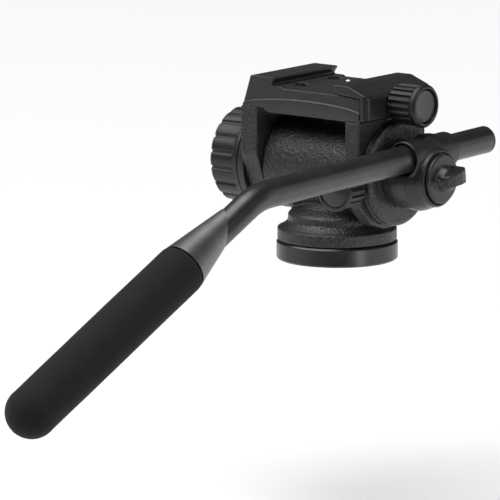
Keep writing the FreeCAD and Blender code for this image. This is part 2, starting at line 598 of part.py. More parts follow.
# bracket: turned body on the tilt axis with a tube sleeve across its top
ang = 1.2
tube_dir = V(0, -math.cos(math.radians(ang)), -math.sin(math.radians(ang)))
BX, BZ = DV["bar_x"], DV["bar_z"]
BO = V(BX, 0, BZ)
rot_tube = Rotation(V(0, 0, 1), tube_dir)
bkb = new_body("bracket_body")
revolve(bkb, "bracket_rev", [
    (DX + 10.9, 3.3), (DX + 10.9, d("bracket_rad") - 0.4), (DX + 11.3, d("bracket_rad")), (53.2, d("bracket_rad")), (53.5, d("bracket_rad") - 0.5),
    (59.7, 13.95), (62.0, 13.8), (62.6, 13.4), (62.6, 12.9), (61.8, 12.8), (61.8, 3.3)], "X")
bkb.Placement = Placement(V(0, 0, AX), Rotation())


def tube_cyl(name, r, y0, y1):
    """Cylinder on the pan bar's axis from y0 to y1 (y1 nearer the user)."""
    o = doc.addObject("Part::Cylinder", name)
    bind(o, "Radius", r)
    o.Height = (y0 - y1) / math.cos(math.radians(ang))
    o.Placement = Placement(BO + tube_dir * (-y0 / math.cos(math.radians(ang))), rot_tube)
    return o


slv = tube_cyl("bracket_sleeve", d("sleeve_rad"), 19.5, -14.6)
saddle = doc.addObject("Part::Box", "bracket_saddle")
saddle.Length, saddle.Width, saddle.Height = 14.6, 24.0, 10.3
saddle.Placement = Placement(V(44.6, -12.0, 46.0), Rotation())
collar = doc.addObject("Part::Cone", "bracket_collar")
collar.Radius1, collar.Radius2, collar.Height = 9.1, 9.05, 1.2
collar.Placement = Placement(BO + tube_dir * (-16.0), rot_tube)
bump = cyl("bracket_bump", 5.6, 7.5, (BX, 3.0, 58.6))
whole = fused("bracket", [bkb, slv, saddle, collar, bump])
cut1 = boolean("Cut", "bracket_tube_hole", whole, tube_cyl("bracket_hole", d("tube_rad") + 0.52, 24.0, -20.0))
cut2 = boolean("Cut", "bracket_stud_hole", cut1, cyl("bracket_stud_bore", d("stud_rad") + 0.25, 30.0, (DX + 5.0, 0, AX), "X"))
cut3 = boolean("Cut", "bracket_seat", cut2, cyl("bracket_seat_cut", 24.0, 6.5, (DX + 4.4, 0, AX), "X"))
node(cut3, "bar_bracket")
doc.recompute()

bo = tube_cyl("bar_bush_outer", d("tube_rad") + 0.47, 19.2, -14.4)
bi = tube_cyl("bar_bush_inner", d("tube_rad") + 0.05, 24.0, -20.0)
node(boolean("Cut", "bar_bush_cut", bo, bi), "bar_bush")

# wing screw on the tilt axis
wb = new_body("wing_body")
revolve(wb, "wing_rev", [
    (62.1, d("stud_rad") + 0.02), (62.1, 12.3), (62.6, 12.55), (64.3, 12.4), (65.0, 11.7), (65.6, 7.2), (68.6, 6.6), (70.6, 5.4), (71.6, 3.2), (71.8, 0.0),
    (66.0, 0.0), (66.0, d("stud_rad") + 0.02)], "X")
wb.Placement = Placement(V(0, 0, AX), Rotation())
wing = new_body("wing_blade")
sk = new_sketch(wing, "wing_blade_sk", "XY_Plane", -2.5)
poly(sk, [(66.1, -4.0), (72.6, -4.0), (73.4, 1.0), (73.0, 5.6), (71.2, 8.6), (66.1, 8.6)])
pad(wing, "wing_blade_pad", sk, 5.0)
doc.recompute()
wing.Placement = Placement(V(0, 0, AX), Rotation(V(1, 0, 0), 6.0))
rib = new_body("wing_rib")
sk = new_sketch(rib, "wing_rib_sk", "XY_Plane", -1.1)
poly(sk, [(64.2, -10.8), (66.2, -10.8), (67.4, -4.0), (67.4, -3.1), (64.2, -3.1)])
pad(rib, "wing_rib_pad", sk, 2.2)
doc.recompute()
rib.Placement = Placement(V(0, 0, AX), Rotation(V(1, 0, 0), 6.0))
wf = fused("wing_screw", [wb, wing, rib])
node(wf, "wing_screw")
rev_node("wing_stud", [(28.0, 0.0), (28.0, 2.3), (28.6, d("stud_rad")), (65.8, d("stud_rad")), (65.8, 0.0)], "X", (0, 0, AX))

# ===================================================== tilt lock knob
LX, LZ = DV["lock_x"], DV["lock_z"]
rm = Rotation(V(0, 0, 1), -90)
tk = new_body("tilt_lock_knob")
revolve(tk, "tilt_lock_rev", [
    (27.7, 2.6), (27.7, 8.2), (28.3, 9.2), (38.6, 9.2), (39.0, 8.9), (39.5, 8.9), (39.9, d("lock_rad") - 0.2), (41.2, d("lock_rad") - 0.1),
    (41.9, d("lock_rad") - 0.9), (41.9, 8.3), (41.3, 8.1), (37.2, 8.1), (37.2, 2.6)], "X")
sk = new_sketch(tk, "tilt_lock_flute_sk", "YZ_Plane", 27.0)
circ(sk, 0.0, 9.95, 1.2)
pk = pocket(tk, "tilt_lock_flute", sk, 11.4, reverse=True)
polar(tk, "tilt_lock_flutes", pk, "X_Axis", 16)
tk.Placement = Placement(V(LX, 0, LZ), rm)
node(tk, "tilt_lock_knob")
rev_node("tilt_lock_cap", [(37.3, 0.0), (37.3, 8.0), (41.0, 8.0), (41.4, 7.6), (42.4, 0.0)], "X", (LX, 0, LZ), rm)
rev_node("tilt_lock_stud", [(8.2, 0.0), (8.2, 2.0), (8.8, 2.5), (37.1, 2.5), (37.1, 0.0)], "X", (LX, 0, LZ), rm)

# ===================================================== pan bar
g = V(-0.0791, -0.8708, -0.4703)
g.normalize()
corner = BO + tube_dir * (131.3 / math.cos(math.radians(ang)))
far = BO - tube_dir * (50.6 / math.cos(math.radians(ang)))
bend_r = 34.0
turn = tube_dir.getAngle(g)
tl = bend_r * math.tan(turn / 2)
p1 = corner - tube_dir * tl
p2 = corner + g * tl
nrm = (g - tube_dir)
nrm.normalize()
mid_c = corner + nrm * (bend_r / math.cos(turn / 2))
mid = mid_c - nrm * bend_r
end_t = corner + g * 166.0
path = Part.Wire([Part.LineSegment(far, p1).toShape(), Part.Arc(p1, mid, p2).toShape(), Part.LineSegment(p2, end_t).toShape()])


def sweep(r):
    pr = Part.Wire([Part.makeCircle(r, far, tube_dir)])
    return path.makePipeShell([pr], True, True)


tb = doc.addObject("Part::Feature", "bar_tube")
tb.Shape = sweep(DV["tube_rad"]).cut(sweep(DV["tube_rad"] - DV["tube_wall"]))
node(tb, "bar_tube")

cp = new_body("bar_end_cap")
revolve(cp, "bar_end_cap_rev", [(0.0, -5.5), (d("tube_rad") - d("tube_wall") - 0.03, -5.5), (d("tube_rad") - d("tube_wall") - 0.03, 0.0), (d("tube_rad"), 0.0),
                                (d("tube_rad"), 0.9), (d("tube_rad") - 0.7, 1.7), (0.0, 2.0)], "Z")
cp.Placement = Placement(far, Rotation(V(0, 0, 1), -tube_dir))
node(cp, "bar_end_cap")
rot_g = Rotation(V(0, 0, 1), g)
# tapered sleeve: a slanted front end on the tube, a round rear end on the foam
cam_side = V(0.588, -0.793, 0.162)
flat = cam_side.cross(g)
flat.normalize()
across = g.cross(flat)
across.normalize()
SLANT = math.tan(math.radians(46.0))
TR = DV["tube_rad"] + 0.5
front_c, rear_c = corner + g * 27.2, corner + g * 56.6
front = Part.Ellipse(front_c + (flat + g * SLANT) * TR, front_c + across * TR, front_c)
rear = Part.Ellipse(rear_c + flat * 11.9, rear_c + across * 11.899, rear_c)
cone = Part.makeLoft([Part.Wire([front.toShape()]), Part.Wire([rear.toShape()])], True, True)
slv_cone = doc.addObject("Part::Feature", "grip_sleeve_cone")
slv_cone.Shape = cone
slv_bore = doc.addObject("Part::Cylinder", "grip_sleeve_bore")
bind(slv_bore, "Radius", d("tube_rad") + 0.05)
slv_bore.Height = 52.0
slv_bore.Placement = Placement(corner + g * 9.0, rot_g)
node(boolean("Cut", "grip_sleeve_cut", slv_cone, slv_bore), "grip_sleeve")
fg = new_body("foam_grip")
R = DV["foam_rad"]
arc_pts = [(R * math.cos(math.radians(a)), 170.0 + R * math.sin(math.radians(a))) for a in (0, 18, 36, 54, 70, 82)]
revolve(fg, "foam_rev", [(d("tube_rad") + 0.05, 57.5), (R - 0.7, 57.5), (R - 0.1, 58.3)] + arc_pts +
        [(0.0, 170.0 + R), (0.0, 170.0), (d("tube_rad") + 0.05, 170.0)], "Z")
fg.Placement = Placement(corner, rot_g)
node(fg, "foam_grip")
rev_node("grip_end_plug", [(0.0, 158.0), (d("tube_rad") - d("tube_wall") - 0.03, 158.0), (d("tube_rad") - d("tube_wall") - 0.03, 166.0), (d("tube_rad"), 166.0),
                           (d("tube_rad"), 169.5), (0.0, 169.5)], "Z", tuple(corner), rot_g)

# ===================================================== checks and export
doc.recompute()
bad = []
for o in doc.Objects:
    if any(s in ("Invalid", "Error") for s in o.State):
        bad.append((o.Name, o.State))
if bad:
    raise RuntimeError("failed objects: %r" % bad)
seen = set()
for o in NODES:
    s = o.Shape
    if s.isNull() or not s.isValid() or not s.Solids:
        raise RuntimeError("bad shape: " + o.Label)
    if o.Label in seen:
        raise RuntimeError("label twice: " + o.Label)
    seen.add(o.Label)
os.makedirs("parts", exist_ok=True)
for o in NODES:
    o.Shape.exportStep("parts/%s.step" % o.Label)
print("nodes", len(NODES))
print("bend radius", bend_r, "turn", round(math.degrees(turn), 1))
lo = [min(o.Shape.BoundBox.XMin for o in NODES), min(o.Shape.BoundBox.YMin for o in NODES), min(o.Shape.BoundBox.ZMin for o in NODES)]
hi = [max(o.Shape.BoundBox.XMax for o in NODES), max(o.Shape.BoundBox.YMax for o in NODES), max(o.Shape.BoundBox.ZMax for o in NODES)]
print("box", [round(v, 1) for v in lo], [round(v, 1) for v in hi])
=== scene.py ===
import json
import math

import bpy
import numpy as np
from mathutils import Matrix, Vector


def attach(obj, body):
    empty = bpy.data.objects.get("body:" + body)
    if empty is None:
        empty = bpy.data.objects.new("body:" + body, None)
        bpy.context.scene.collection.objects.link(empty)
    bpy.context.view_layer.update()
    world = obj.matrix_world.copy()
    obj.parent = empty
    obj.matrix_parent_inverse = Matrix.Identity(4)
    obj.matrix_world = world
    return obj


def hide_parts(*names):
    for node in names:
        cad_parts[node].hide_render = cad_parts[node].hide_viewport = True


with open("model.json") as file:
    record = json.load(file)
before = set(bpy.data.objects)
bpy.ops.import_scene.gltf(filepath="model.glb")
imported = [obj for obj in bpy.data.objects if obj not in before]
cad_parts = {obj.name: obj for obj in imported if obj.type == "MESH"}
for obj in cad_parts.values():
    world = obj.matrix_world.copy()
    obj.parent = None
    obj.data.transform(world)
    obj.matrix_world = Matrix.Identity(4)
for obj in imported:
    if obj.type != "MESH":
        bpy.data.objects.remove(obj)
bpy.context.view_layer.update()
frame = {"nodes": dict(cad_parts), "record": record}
NODES = frame["nodes"]

# ------------------------------------------------------------------ main sizes, mm, as in the CAD model
AX = 46.0                      # height of the tilt axis
TILT = math.radians(1.2)       # slope of the pan bar
T_DIR = np.array([0.0, -math.cos(TILT), -math.sin(TILT)])
BAR_O = np.array([52.0, 0.0, 56.4])
CORNER = BAR_O + T_DIR * (131.3 / math.cos(TILT))
G_DIR = np.array([-0.0791, -0.8708, -0.4703])
CLAMP_Z = 81.0                 # height of the clamp screw
G_DIR = G_DIR / np.linalg.norm(G_DIR)


# ------------------------------------------------------------------ shape functions (distance fields, mm)
def smin(a, b, k):
    h = np.clip(0.5 + 0.5 * (b - a) / k, 0.0, 1.0)
    return b + (a - b) * h - k * h * (1.0 - h)


def smax(a, b, k):
    return -smin(-a, -b, k)


def polygon(px, py, pts):
    """Signed distance to a closed polygon."""
    pts = np.asarray(pts, float)
    d = np.full(px.shape, 1e9)
    s = np.ones(px.shape)
    n = len(pts)
    for i in range(n):
        a, b = pts[i], pts[i - 1]
        ex, ey = b[0] - a[0], b[1] - a[1]
        wx, wy = px - a[0], py - a[1]
        t = np.clip((wx * ex + wy * ey) / max(ex * ex + ey * ey, 1e-12), 0.0, 1.0)
        bx, by = wx - ex * t, wy - ey * t
        d = np.minimum(d, bx * bx + by * by)
        c1, c2, c3 = py >= a[1], py < b[1], ex * wy > ey * wx
        flip = (c1 & c2 & c3) | (~c1 & ~c2 & ~c3)
        s = np.where(flip, -s, s)
    return s * np.sqrt(d)


def extrude(d2, w, half):
    """Profile distance d2, extruded to +-half along w."""
    ww = np.abs(w) - half
    return np.minimum(np.maximum(d2, ww), 0.0) + np.hypot(np.maximum(d2, 0.0), np.maximum(ww, 0.0))


def inset(pts, r):
    """The polygon moved inwards by r, its corners kept sharp."""
    p = np.asarray(pts, float)
    nxt, prv = np.roll(p, -1, 0), np.roll(p, 1, 0)
    area = np.sum(p[:, 0] * nxt[:, 1] - nxt[:, 0] * p[:, 1])
    s = 1.0 if area > 0 else -1.0
    out = []
    for a, b, c in zip(prv, p, nxt):
        e0, e1 = (b - a) / np.linalg.norm(b - a), (c - b) / np.linalg.norm(c - b)
        n0, n1 = s * np.array([-e0[1], e0[0]]), s * np.array([-e1[1], e1[0]])
        out.append(b + (n0 + n1) * r / max(1.0 + n0 @ n1, 0.3))
    return out


def rounded(px, py, pts, r):
    """Distance to a polygon whose outer corners are rounded by r."""
    return polygon(px, py, inset(pts, r)) - r


def cyl_along(p, origin, axis, r, a0, a1, rnd=0.0):
    """Capped cylinder on origin + axis * t, a0 < t < a1."""
    q = [p[i] - origin[i] for i in range(3)]
    t = q[0] * axis[0] + q[1] * axis[1] + q[2] * axis[2]
    rad = np.sqrt(np.maximum((q[0] - axis[0] * t) ** 2 + (q[1] - axis[1] * t) ** 2 + (q[2] - axis[2] * t) ** 2, 0.0))
    dx, dy = rad - (r - rnd), np.abs(t - (a0 + a1) / 2) - ((a1 - a0) / 2 - rnd)
    return np.minimum(np.maximum(dx, dy), 0.0) + np.hypot(np.maximum(dx, 0.0), np.maximum(dy, 0.0)) - rnd


def net(name, field, lo, hi, h):
    """Mesh of the zero surface of field(x, y, z) in the box lo..hi, in mm, by surface nets."""
    ax = [np.arange(lo[i] - 2 * h, hi[i] + 2.5 * h, h) for i in range(3)]
    P = np.meshgrid(*ax, indexing="ij")
    F = field(*P).astype(np.float32)
    ins = F < 0
    c = np.zeros(tuple(n - 1 for n in F.shape), np.int8)
    for dx in (0, 1):
        for dy in (0, 1):
            for dz in (0, 1):
                c += ins[dx:F.shape[0] - 1 + dx, dy:F.shape[1] - 1 + dy, dz:F.shape[2] - 1 + dz]
    cell = (c > 0) & (c < 8)
    idx = -np.ones(cell.shape, np.int64)
    ijk = np.argwhere(cell)
    idx[cell] = np.arange(len(ijk))
    acc, cnt = np.zeros((len(ijk), 3)), np.zeros(len(ijk))
    corners = [(a, b, d) for a in (0, 1) for b in (0, 1) for d in (0, 1)]
    for a in range(8):
        for b in range(a + 1, 8):
            ca, cb = np.array(corners[a]), np.array(corners[b])
            if abs(ca - cb).sum() != 1:
                continue
            fa = F[tuple((ijk + ca).T)]
            fb = F[tuple((ijk + cb).T)]
            m = (fa < 0) != (fb < 0)
            t = np.where(m, fa / np.where(m, fa - fb, 1.0), 0.0)
            pt = ca + (cb - ca) * t[:, None]
            acc[m] += pt[m]
            cnt[m] += 1
    v = ijk + acc / np.maximum(cnt, 1)[:, None]
    v = np.stack([ax[i][0] + v[:, i] * h for i in range(3)], 1)
    quads = []
    for axis in range(3):
        s0 = [slice(1, -1)] * 3
        s1 = [slice(1, -1)] * 3
        s0[axis], s1[axis] = slice(0, -1), slice(1, None)
        A, B = ins[tuple(s0)], ins[tuple(s1)]
        e = np.argwhere(A != B)
        if not len(e):
            continue
        up = A[tuple(e.T)]
        base = e + 1
        base[:, axis] -= 1
        u, w = [(1, 2), (2, 0), (0, 1)][axis]
        o = []
        for du, dw in ((0, 0), (-1, 0), (-1, -1), (0, -1)):
            q = base.copy()
            q[:, u] += du
            q[:, w] += dw
            o.append(idx[tuple(q.T)])
        f = np.stack(o, 1)
        f[~up] = f[~up][:, ::-1]
        quads.append(f)
    quads = np.concatenate(quads)
    quads = quads[(quads >= 0).all(1)]
    return mesh_object(name, v, quads)


def mesh_object(name, v, faces):
    me = bpy.data.meshes.new(name)
    v = np.asarray(v, float) * 0.001
    if isinstance(faces, np.ndarray):
        n = len(faces)
        me.vertices.add(len(v))
        me.vertices.foreach_set("co", v.astype(np.float32).ravel())
        me.loops.add(n * 4)
        me.loops.foreach_set("vertex_index", faces.astype(np.int32).ravel())
        me.polygons.add(n)
        me.polygons.foreach_set("loop_start", np.arange(0, n * 4, 4, dtype=np.int32))
        me.update(calc_edges=True)
        me.validate()
    else:
        me.from_pydata([tuple(p) for p in v], [], faces)
        me.update()
    me.shade_smooth()
    ob = bpy.data.objects.new(name, me)
    bpy.context.scene.collection.objects.link(ob)
    return ob


def dense(profile, step, corner=0.0):
    """Points along the profile, a step apart, its corners rounded by corner (mm)."""
    pts = [np.array(p, float) for p in profile]
    if corner > 0:
        out = [pts[0]]
        for a, b, c in zip(pts, pts[1:], pts[2:]):
            la, lc = np.linalg.norm(a - b), np.linalg.norm(c - b)
            r = min(corner, la * 0.45, lc * 0.45)
            pa, pc = b + (a - b) / max(la, 1e-9) * r, b + (c - b) / max(lc, 1e-9) * r
            for t in (0.0, 0.25, 0.5, 0.75, 1.0):
                out.append((1 - t) ** 2 * pa + 2 * t * (1 - t) * b + t * t * pc)
        out.append(pts[-1])
        pts = out
    res = [pts[0]]
    for a, b in zip(pts, pts[1:]):
        n = max(1, int(np.linalg.norm(b - a) / step))
        for i in range(1, n + 1):
            res.append(a + (b - a) * i / n)
    return np.array(res)


def lathe(name, profile, origin, axis, ref, n=360, shape=None):
    """Turned piece: profile is (t along axis, radius) from axis to axis or a closed loop. shape(t, r, angle) gives the radius."""
    axis = np.array(axis, float)
    ref = np.array(ref, float)
    third = np.cross(axis, ref)
    ang = np.arange(n) * 2 * math.pi / n
    closed = np.allclose(profile[0], profile[-1])
    prof = profile[:-1] if closed else profile
    v, rows = [], []
    for t, r in prof:
        if r < 1e-6 and not closed:
            rows.append([len(v)])
            v.append(np.array(origin) + axis * t)
            continue
        rr = np.full(n, r) if shape is None else shape(t, r, ang)
        rows.append(list(range(len(v), len(v) + n)))
        for a, q in zip(ang, rr):
            v.append(np.array(origin) + axis * t + (ref * math.cos(a) + third * math.sin(a)) * q)
    faces = []
    pairs = list(zip(rows, rows[1:])) + ([(rows[-1], rows[0])] if closed else [])
    for a, b in pairs:
        for i in range(n):
            j = (i + 1) % n
            if len(a) == 1 and len(b) == 1:
                continue
            if len(a) == 1:
                faces.append((a[0], b[j], b[i]))
            elif len(b) == 1:
                faces.append((a[i], a[j], b[0]))
            else:
                faces.append((a[i], a[j], b[j], b[i]))
    ob = mesh_object(name, np.array(v), faces)
    import bmesh
    bm = bmesh.new()
    bm.from_mesh(ob.data)
    bmesh.ops.recalc_face_normals(bm, faces=bm.faces)
    bm.to_mesh(ob.data)
    bm.free()
    ob.data.shade_smooth()
    return ob


def put(ob, body, slot, mat, *nodes):
    ob.data.materials.clear()
    ob.data.materials.append(mat)
    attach(ob, body)
    if nodes:
        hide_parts(*nodes)
    return ob


# ------------------------------------------------------------------ materials
def new_mat(name):
    m = bpy.data.materials.new(name)
    m.use_nodes = True
    nt = m.node_tree
    bsdf = nt.nodes["Principled BSDF"]
    tc = nt.nodes.new("ShaderNodeTexCoord")
    return m, nt, bsdf, tc


def noise(nt, vec, scale, detail=3.0, rough=0.5):
    n = nt.nodes.new("ShaderNodeTexNoise")
    n.inputs["Scale"].default_value = scale
    n.inputs["Detail"].default_value = detail
    n.inputs["Roughness"].default_value = rough
    nt.links.new(vec, n.inputs["Vector"])
    return n.outputs["Fac"]


def ramp(nt, fac, stops):
    r = nt.nodes.new("ShaderNodeValToRGB")
    els = r.color_ramp.elements
    while len(els) < len(stops):
        els.new(0.5)
    for e, (p, c) in zip(els, stops):
        e.position = p
        e.color = (c, c, c, 1) if isinstance(c, (int, float)) else (*c, 1)
    nt.links.new(fac, r.inputs["Fac"])
    return r.outputs["Color"]


def remap(nt, fac, a, b, c, d):
    m = nt.nodes.new("ShaderNodeMapRange")
    for i, x in zip(("From Min", "From Max", "To Min", "To Max"), (a, b, c, d)):
        m.inputs[i].default_value = x
    nt.links.new(fac, m.inputs["Value"])
    return m.outputs["Result"]


def bump(nt, height, dist, strength=1.0, normal=None):
    b = nt.nodes.new("ShaderNodeBump")
    b.inputs["Distance"].default_value = dist
    b.inputs["Strength"].default_value = strength
    nt.links.new(height, b.inputs["Height"])
    if normal is not None:
        nt.links.new(normal, b.inputs["Normal"])
    return b.outputs["Normal"]


def scaled(nt, vec, s, rot=(0, 0, 0)):
    mp = nt.nodes.new("ShaderNodeMapping")
    mp.inputs["Scale"].default_value = s
    mp.inputs["Rotation"].default_value = rot
    nt.links.new(vec, mp.inputs["Vector"])
    return mp.outputs["Vector"]


def painted_edge_highlight(nt, fac_in, size, light):
    """Painted edge highlight: a lighter colour at sharp edges, by pointiness where the mesh is fine enough, broken up
    by noise.
    """
    g = nt.nodes.new("ShaderNodeNewGeometry")
    r = remap(nt, g.outputs["Pointiness"], 0.53, 0.62, 0.0, 1.0)
    mul = nt.nodes.new("ShaderNodeMath")
    mul.operation = "MULTIPLY"
    nt.links.new(r, mul.inputs[0])
    nt.links.new(fac_in, mul.inputs[1])
    return mul.outputs["Value"]


def mix_col(nt, fac, a, b):
    m = nt.nodes.new("ShaderNodeMix")
    m.data_type = "RGBA"
    nt.links.new(fac, m.inputs["Factor"])
    for s, x in ((6, a), (7, b)):
        if isinstance(x, tuple):
            m.inputs[s].default_value = (*x, 1)
        else:
            nt.links.new(x, m.inputs[s])
    return m.outputs[2]


def cast_paint(name, base, grain, depth, rough):
    """Satin paint over an orange-peel or pebbled casting."""
    m, nt, b, tc = new_mat(name)
    o = tc.outputs["Object"]
    big = noise(nt, o, 60.0, 3.0)
    mid = noise(nt, o, grain, 2.0, 0.55)
    vor = nt.nodes.new("ShaderNodeTexVoronoi")
    vor.feature = "SMOOTH_F1"
    vor.inputs["Scale"].default_value = grain * 0.9
    vor.inputs["Smoothness"].default_value = 0.6
    nt.links.new(o, vor.inputs["Vector"])
    fine = noise(nt, o, grain * 4.0, 2.0)
    a = nt.nodes.new("ShaderNodeMath")
    a.operation = "ADD"
    nt.links.new(vor.outputs["Distance"], a.inputs[0])
    nt.links.new(mid, a.inputs[1])
    n1 = bump(nt, a.outputs["Value"], depth)
    n2 = bump(nt, fine, depth * 0.18, 1.0, n1)
    nt.links.new(n2, b.inputs["Normal"])
    tone = mix_col(nt, remap(nt, big, 0.3, 0.7, 0.0, 1.0), tuple(c * 0.93 for c in base), tuple(c * 1.07 for c in base))
    # painted highlight: the pebble tops, where the bump height is greatest, are given a lighter colour
    top = mix_col(nt, remap(nt, a.outputs["Value"], 0.75, 1.25, 0.0, 1.0), tone, tuple(c * 1.9 for c in base))
    # painted highlight: sharp edges are given a lighter colour, broken up by noise
    edge_highlight = painted_edge_highlight(nt, remap(nt, noise(nt, o, 300.0, 4.0), 0.35, 0.7, 0.0, 0.7), 0.5, 0)
    nt.links.new(mix_col(nt, edge_highlight, top, tuple(c * 3.2 for c in base)), b.inputs["Base Color"])
    nt.links.new(remap(nt, noise(nt, o, 220.0, 3.0), 0.3, 0.7, rough - 0.05, rough + 0.07), b.inputs["Roughness"])
    return m


def smooth_paint(name, base, rough, metallic=0.0, grain=2600.0, depth=0.00001, lines=None, coat=0.0, var=0.25):
    """Smooth satin finish; lines scales the grain per axis for turned or brushed surfaces."""
    m, nt, b, tc = new_mat(name)
    o = tc.outputs["Object"]
    src = scaled(nt, o, lines) if lines else o
    g = noise(nt, src, grain, 2.0)
    smudge = noise(nt, o, 45.0, 4.0, 0.6)
    n1 = bump(nt, g, depth)
    nt.links.new(n1, b.inputs["Normal"])
    tone = mix_col(nt, remap(nt, smudge, 0.3, 0.7, 0.0, 1.0), tuple(c * (1 - var) for c in base), tuple(c * (1 + var) for c in base))
    speck = mix_col(nt, remap(nt, g, 0.5, 0.8, 0.0, 0.6), tone, tuple(c * 1.6 for c in base))
    nt.links.new(speck, b.inputs["Base Color"])
    nt.links.new(remap(nt, smudge, 0.3, 0.7, rough - 0.035, rough + 0.05), b.inputs["Roughness"])
    b.inputs["Metallic"].default_value = metallic
    if coat:
        b.inputs["Coat Weight"].default_value = coat
        b.inputs["Coat Roughness"].default_value = 0.22
    return m


def foam_mat():
    m, nt, b, tc = new_mat("closed_cell_foam")
    o = tc.outputs["Object"]
    vor = nt.nodes.new("ShaderNodeTexVoronoi")
    vor.inputs["Scale"].default_value = 1500.0
    nt.links.new(o, vor.inputs["Vector"])
    cells = vor.outputs["Distance"]
    fine = noise(nt, o, 3200.0, 3.0, 0.6)
    patch = noise(nt, o, 90.0, 3.0, 0.6)
    n1 = bump(nt, cells, 0.00016, 0.8)
    n2 = bump(nt, fine, 0.00009, 0.8, n1)
    nt.links.new(n2, b.inputs["Normal"])
    tone = mix_col(nt, remap(nt, cells, 0.1, 0.75, 0.0, 1.0), (0.0045, 0.0045, 0.0047), (0.011, 0.011, 0.0112))
    tone2 = mix_col(nt, remap(nt, patch, 0.35, 0.7, 0.0, 0.5), tone, (0.013, 0.013, 0.0132))
    nt.links.new(tone2, b.inputs["Base Color"])
    nt.links.new(remap(nt, fine, 0.2, 0.8, 0.82, 0.98), b.inputs["Roughness"])
    b.inputs["Specular IOR Level"].default_value = 0.22
    b.inputs["Sheen Weight"].default_value = 0.05
    b.inputs["Sheen Roughness"].default_value = 0.6
    return m


CAST = cast_paint("cast_black_paint", (0.016, 0.016, 0.017), 900.0, 0.00030, 0.38)
CAST_FINE = cast_paint("fine_cast_paint", (0.017, 0.017, 0.018), 2100.0, 0.00007, 0.40)
SATIN = smooth_paint("satin_black_paint", (0.017, 0.017, 0.018), 0.38, 0.0, 2600.0, 0.000022)
BRACKET = smooth_paint("bracket_satin_paint", (0.018, 0.018, 0.019), 0.34, 0.0, 2400.0, 0.00003)
TURNED = smooth_paint("turned_black_anodised", (0.05, 0.05, 0.052), 0.28, 0.75, 60.0, 0.000006, lines=(2.0, 2.0, 140.0))
TUBE = smooth_paint("tube_black_anodised", (0.075, 0.075, 0.078), 0.32, 0.8, 3000.0, 0.000012)
SLEEVE = smooth_paint("sleeve_grey_anodised", (0.17, 0.17, 0.175), 0.38, 0.8, 2200.0, 0.00002)
KNOB = smooth_paint("knob_moulded_black", (0.008, 0.008, 0.0083), 0.42, 0.0, 3200.0, 0.00003)
CAP = smooth_paint("cap_semi_gloss", (0.016, 0.016, 0.0165), 0.27, 0.0, 1800.0, 0.000008)
STEEL = smooth_paint("bright_steel", (0.55, 0.55, 0.57), 0.24, 1.0, 900.0, 0.000008, lines=(1.0, 1.0, 6.0), var=0.12)
SCREW = smooth_paint("blackened_steel", (0.20, 0.20, 0.205), 0.28, 1.0, 1400.0, 0.00001)
BRONZE = smooth_paint("sintered_bronze", (0.45, 0.30, 0.14), 0.42, 1.0, 2600.0, 0.00004)
LINER = smooth_paint("moulded_liner", (0.012, 0.012, 0.0125), 0.55, 0.0, 2800.0, 0.00004)
FOAM = foam_mat()

BY_SLOT = {
    "cast_black": CAST, "satin_black": SATIN, "machined_black": TURNED, "tube_black": TUBE, "sleeve_grey": SLEEVE,
    "knob_black": KNOB, "cap_black": CAP, "foam": FOAM, "steel": STEEL, "bronze": BRONZE, "liner": LINER,
}
slot_of = {s["node"]: s["material_slot"] for s in frame["record"]["subparts"]}
OWN = {"floor_screws": SCREW, "arm_screws": SCREW, "stop_pin": STEEL, "right_disc": CAST, "left_hub": SATIN}
for n, o in NODES.items():
    mat = OWN.get(n, BY_SLOT[slot_of[n]])
    o.data.materials.clear()
    o.data.materials.append(mat)

# ------------------------------------------------------------------ foam grip
rng = np.random.default_rng(7)
ph = rng.uniform(0, 2 * math.pi, 24)
R = 12.4
prof = [(170.0, 6.86), (57.8, 6.86), (57.5, 7.3), (57.5, 11.2), (57.65, 11.8), (58.1, 12.15), (58.9, 12.3)]
prof += [(t, 12.32 + 0.08 * math.sin(math.pi * (t - 59) / 111.0)) for t in np.arange(60.0, 168.1, 1.0)]
prof += [(170 + R * math.sin(a), R * math.cos(a)) for a in np.linspace(0.02, math.pi / 2 - 0.02, 34)] + [(170.0 + R, 0.0)]
prof = np.array(prof)


def foam_shape(t, r, ang):
    if r < 7.5 and t < 171:
        return np.full(len(ang), r)
    out = np.full(len(ang), r)
    for k in range(8):
        out = out + 0.022 * np.sin((k + 1) * ang + t * (0.05 + 0.035 * k) + ph[k]) / (1 + 0.3 * k)
    return np.maximum(out - 0.02, 0.05)


grip = lathe("grip_foam", [tuple(p) for p in prof], CORNER, G_DIR, np.cross(G_DIR, [0.0, 0.0, 1.0]) / np.linalg.norm(np.cross(G_DIR, [0.0, 0.0, 1.0])), 144, foam_shape)
put(grip, "bar", "foam", FOAM, "foam_grip")


# ------------------------------------------------------------------ fluted knobs
def flute(n_fl, r_top, depth, half_deg, soft):
    """0..1 depth factor of n_fl flutes over the angle."""
    def f(ang):
        p = 2 * math.pi / n_fl
        a = (ang % p) - p / 2
        w = np.abs(a) / math.radians(half_deg)
        return 0.5 * (1 - np.tanh((w - 1.0) / soft))
    return f


def window(t, a, b, s):
    return 0.5 * (math.tanh((t - a) / s) - math.tanh((t - b) / s))


X1 = (1.0, 0.0, 0.0)
Y1 = (0.0, 1.0, 0.0)
# clamp knob
fl = flute(18, 10.2, 1.0, 4.6, 0.35)
prof = dense([(49.4, 2.6), (38.8, 2.6), (38.8, 8.8), (39.4, 9.9), (52.0, 9.9), (52.7, 10.0), (53.1, 10.65), (54.7, 10.65), (56.0, 9.6),
              (56.0, 8.75), (55.3, 8.4), (49.4, 8.4), (49.4, 2.6)], 0.22, 0.25)


def clamp_shape(t, r, ang):
    k = window(t, 39.0, 51.8, 0.25) if r > 9.3 else 0.0
    return r - 1.25 * k * fl(ang)


